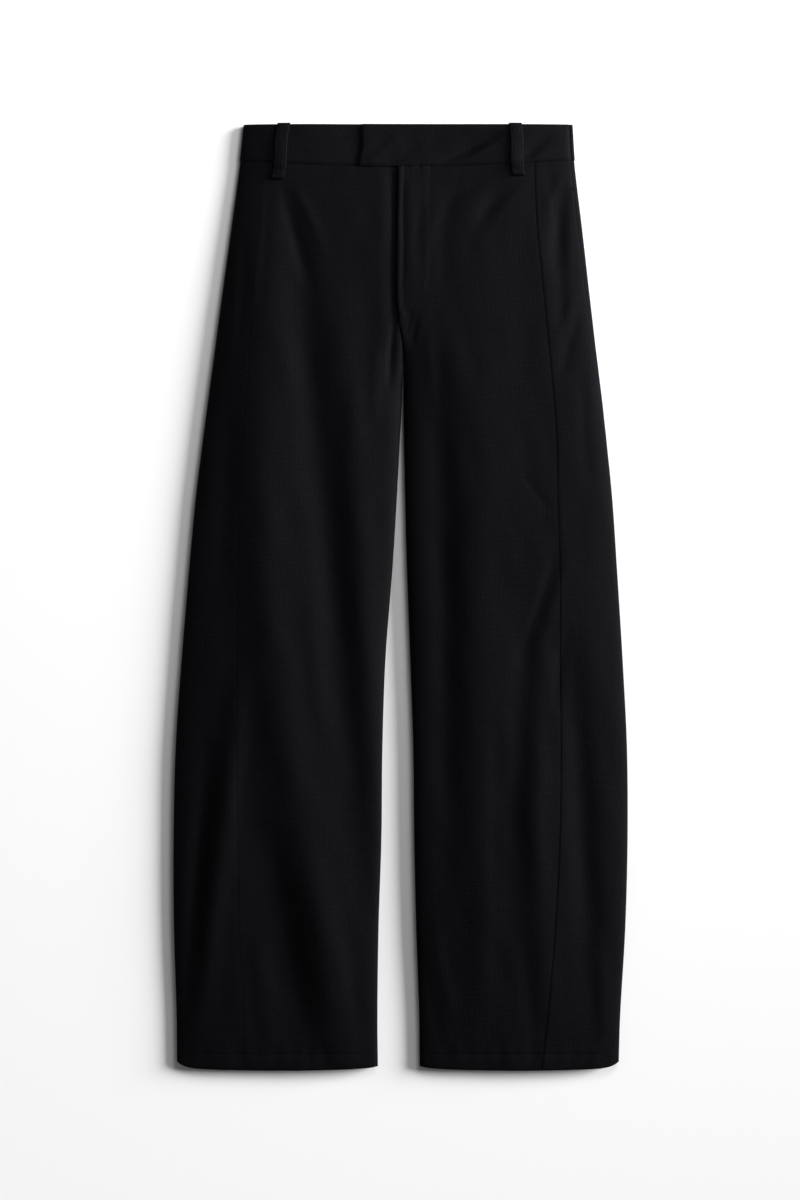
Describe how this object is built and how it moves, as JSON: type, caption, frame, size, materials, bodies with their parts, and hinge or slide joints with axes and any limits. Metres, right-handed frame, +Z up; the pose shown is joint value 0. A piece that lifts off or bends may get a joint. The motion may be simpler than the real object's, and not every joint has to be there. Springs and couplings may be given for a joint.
{
  "type": "barrel leg trousers",
  "caption": "High-waisted barrel leg trousers laid flat, front up, with a tab closing, a fly, front belt loops and a long curved seam down each leg.",
  "frame": {"origin": "middle of the footprint, on the surface that the trousers lie on", "axes": "+X is the wearer's left, +Y runs up to the waist, +Z is up through the front of the trousers"},
  "size_m": [0.5094, 1.0622, 0.0211],
  "materials": {
    "cloth": "matt black suiting with a fine slubbed weave",
    "band_cloth": "the same cloth, interfaced and smoother"
  },
  "bodies": {
    "root": {"front_left": "cloth", "front_right": "cloth", "side_front_left": "cloth", "side_front_right": "cloth", "back_left": "cloth", "back_right": "cloth", "waistband_left": "band_cloth", "waistband_right": "band_cloth", "waistband_back": "band_cloth", "belt_loop_left": "band_cloth", "belt_loop_right": "band_cloth"}
  },
  "joints": []
}
